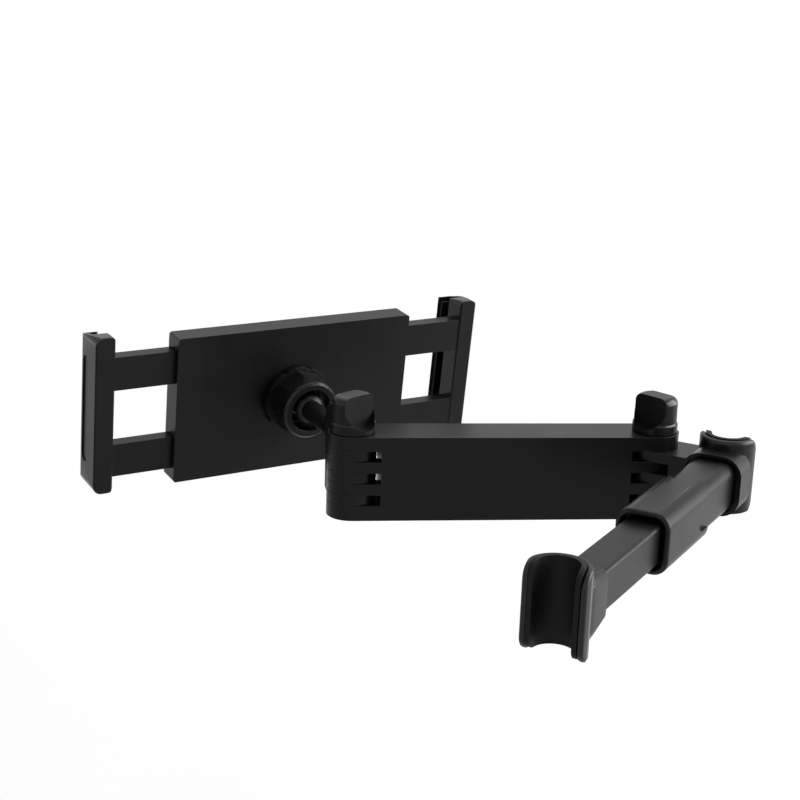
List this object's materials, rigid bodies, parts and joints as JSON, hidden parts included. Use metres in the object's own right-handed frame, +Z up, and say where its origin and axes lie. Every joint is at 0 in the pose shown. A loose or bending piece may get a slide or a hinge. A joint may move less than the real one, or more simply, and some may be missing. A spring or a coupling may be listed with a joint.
{
  "type": "headrest tablet mount",
  "caption": "Tablet holder for a car headrest: a telescoping clamp bar, a swivelling arm with wing knobs, a ball joint with a lock nut, and a sprung holder that grips a tablet by its edges",
  "frame": {"origin": "on the axis of the far headrest post, level with the middle of the hook", "axes": "+Z up along the posts, +X along the holder's width as it stands, +Y from the arm toward the tablet"},
  "size_m": [0.2249, 0.255, 0.0686],
  "materials": {
    "moulded_plastic": "fine moulded grain, satin black",
    "rubber_pads": "soft matt black rubber",
    "bare_steel": "bright zinc-plated steel",
    "nylon": "natural nylon, slightly waxy"
  },
  "bodies": {
    "clamp": {"far_hook": "moulded_plastic", "far_liner": "rubber_pads", "far_screw": "bare_steel", "clamp_sleeve": "moulded_plastic", "clamp_spring": "bare_steel"},
    "bar": {"sliding_bar": "moulded_plastic", "near_hook": "moulded_plastic", "near_liner": "rubber_pads", "near_screw": "bare_steel"},
    "arm": {"arm": "moulded_plastic", "right_nut": "bare_steel", "left_nut": "bare_steel"},
    "right_knob": {"right_knob": "moulded_plastic", "right_bolt": "bare_steel"},
    "left_knob": {"left_knob": "moulded_plastic", "left_bolt": "bare_steel"},
    "link": {"link": "moulded_plastic"},
    "ball_stud": {"ball_stud": "moulded_plastic"},
    "ball_seat": {"ball_seat": "nylon"},
    "holder": {"holder_case": "moulded_plastic", "holder_back": "moulded_plastic", "holder_pad": "rubber_pads", "case_screws": "bare_steel", "left_spring": "bare_steel", "right_spring": "bare_steel"},
    "lock_nut": {"lock_nut": "moulded_plastic"},
    "left_claw": {"left_bracket": "moulded_plastic", "left_claw_pad": "rubber_pads"},
    "right_claw": {"right_bracket": "moulded_plastic", "right_claw_pad": "rubber_pads"}
  },
  "joints": [
    {"name": "bar_slide", "type": "slide", "parent": "clamp", "child": "bar", "axis": [-0.8721, -0.4894, 0], "range_m": [-0.042, 0.008], "stiffness_N_per_m": 60, "deforming": ["clamp_spring"]},
    {"name": "arm_swivel", "type": "hinge", "parent": "clamp", "child": "arm", "pos_m": [-0.02119, 0.02079, 0.015], "axis": [0, 0, 1], "range_deg": [-115, 50]},
    {"name": "right_knob_turn", "type": "hinge", "parent": "arm", "child": "right_knob", "pos_m": [-0.02119, 0.02079, 0.015], "axis": [0, 0, 1], "range_deg": [0, 270]},
    {"name": "link_swivel", "type": "hinge", "parent": "arm", "child": "link", "pos_m": [-0.13329, 0.07378, 0.015], "axis": [0, 0, -1], "range_deg": [-145, 14]},
    {"name": "left_knob_turn", "type": "hinge", "parent": "arm", "child": "left_knob", "pos_m": [-0.13329, 0.07378, 0.015], "axis": [0, 0, 1], "range_deg": [0, 270]},
    {"name": "ball_spin", "type": "hinge", "parent": "link", "child": "ball_stud", "pos_m": [-0.12721, 0.12482, 0.0107], "axis": [-0.1184, -0.993, 0], "range_deg": [-180, 180]},
    {"name": "ball_pan", "type": "hinge", "parent": "ball_stud", "child": "ball_seat", "pos_m": [-0.12721, 0.12482, 0.0107], "axis": [0, 0, 1], "range_deg": [-29, 16]},
    {"name": "ball_tilt", "type": "hinge", "parent": "ball_seat", "child": "holder", "pos_m": [-0.12721, 0.12482, 0.0107], "axis": [1, 0, 0], "range_deg": [-29, 16]},
    {"name": "lock_nut_turn", "type": "hinge", "parent": "holder", "child": "lock_nut", "pos_m": [-0.12721, 0.12482, 0.0107], "axis": [0, -0.993, -0.1184], "range_deg": [0, 180]},
    {"name": "left_claw_slide", "type": "slide", "parent": "holder", "child": "left_claw", "axis": [-1, 0, 0], "range_m": [-0.0205, 0.02], "stiffness_N_per_m": 150, "deforming": ["left_spring"]},
    {"name": "right_claw_slide", "type": "slide", "parent": "holder", "child": "right_claw", "axis": [1, 0, 0], "range_m": [-0.0225, 0.018], "stiffness_N_per_m": 150, "deforming": ["right_spring"]}
  ]
}
